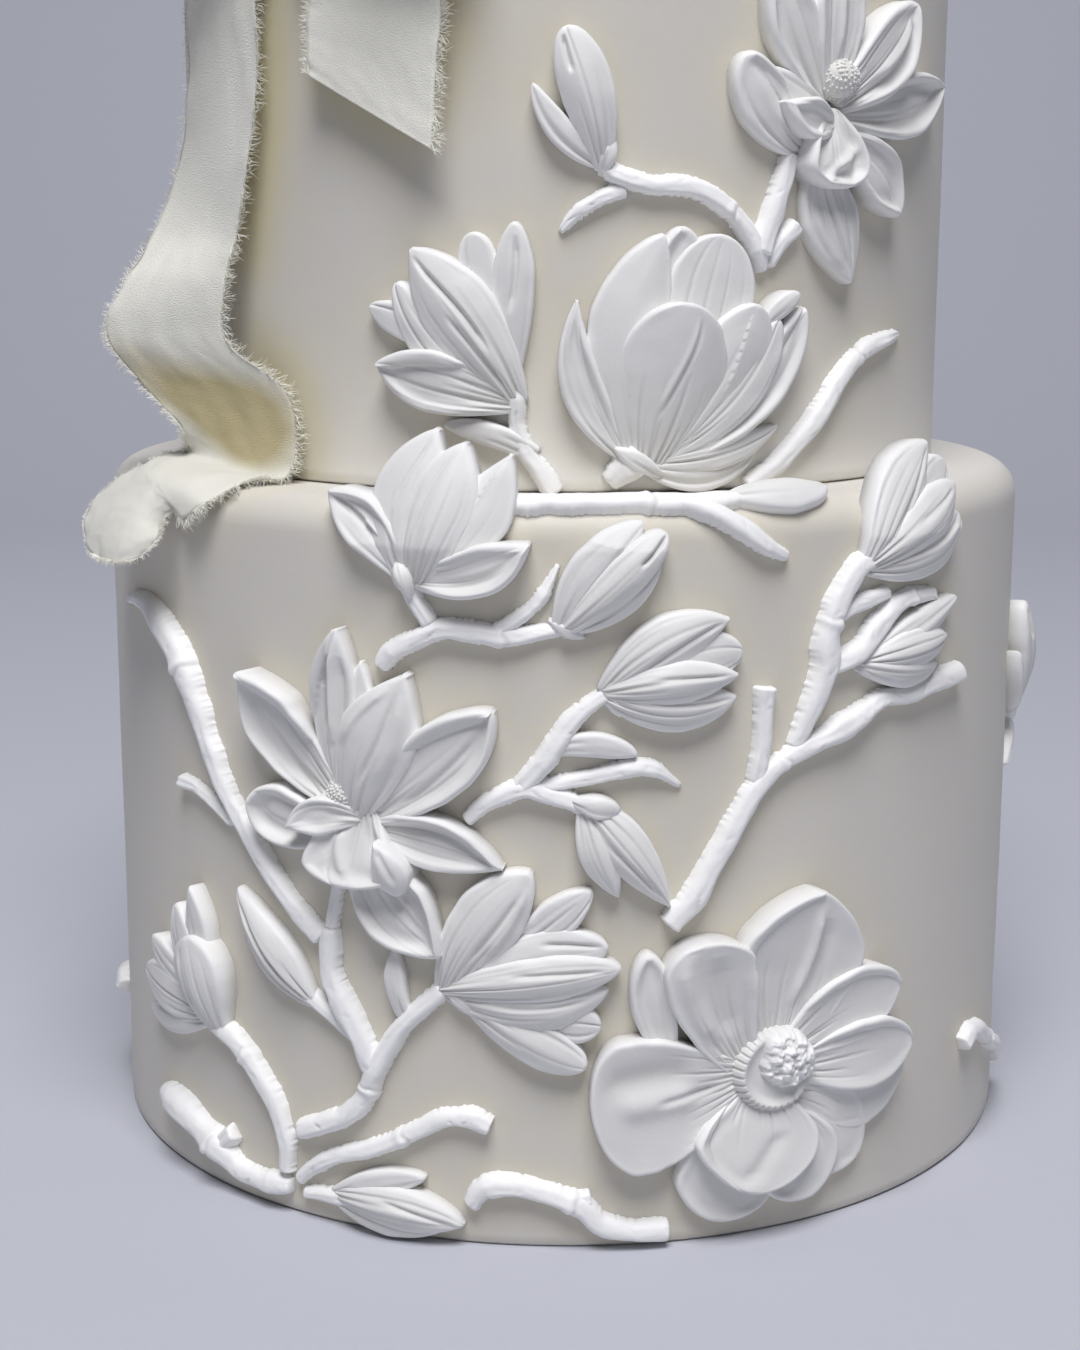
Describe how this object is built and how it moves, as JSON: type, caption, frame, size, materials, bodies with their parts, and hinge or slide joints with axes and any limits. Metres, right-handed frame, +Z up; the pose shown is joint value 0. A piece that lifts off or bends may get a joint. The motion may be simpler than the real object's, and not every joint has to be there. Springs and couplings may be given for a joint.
{
  "type": "tiered wedding cake",
  "caption": "Tiered round cake in smooth ivory fondant with moulded white sugar magnolias, buds and bare twigs laid over its wall and a frayed silk ribbon tied at the upper rim.",
  "frame": {"origin": "centre of the lower tier's flat bottom", "axes": "+Z up the cake's axis, front towards -Y, +X to the right seen from the front"},
  "size_m": [0.2697, 0.268, 0.368],
  "materials": {
    "fondant": "smooth rolled fondant with a soft satin sheen",
    "sugar": "moulded white sugar paste, satin",
    "ribbon": "raw silk with torn, frayed edges"
  },
  "bodies": {
    "root": {"lower_tier": "fondant", "upper_tier": "fondant", "left_branch": "sugar", "open_magnolia": "sugar", "rim_magnolia": "sugar", "mid_spray": "sugar", "right_branch": "sugar", "rosette": "sugar", "far_left_bud": "sugar", "low_left_branch": "sugar", "low_twig": "sugar", "low_bud": "sugar", "low_right_twig": "sugar", "rim_twig": "sugar", "top_spray": "sugar", "half_open_magnolia": "sugar", "cup_magnolia": "sugar", "diagonal_twig": "sugar", "side_bud": "sugar", "side_twig": "sugar", "back_branch": "sugar", "back_left_branch": "sugar", "left_side_twig": "sugar", "upper_side_magnolia": "sugar", "upper_back_bud": "sugar", "ribbon_long_tail": "ribbon", "ribbon_short_tail": "ribbon", "ribbon_left_loop": "ribbon", "ribbon_right_loop": "ribbon", "ribbon_knot": "ribbon"}
  },
  "joints": []
}
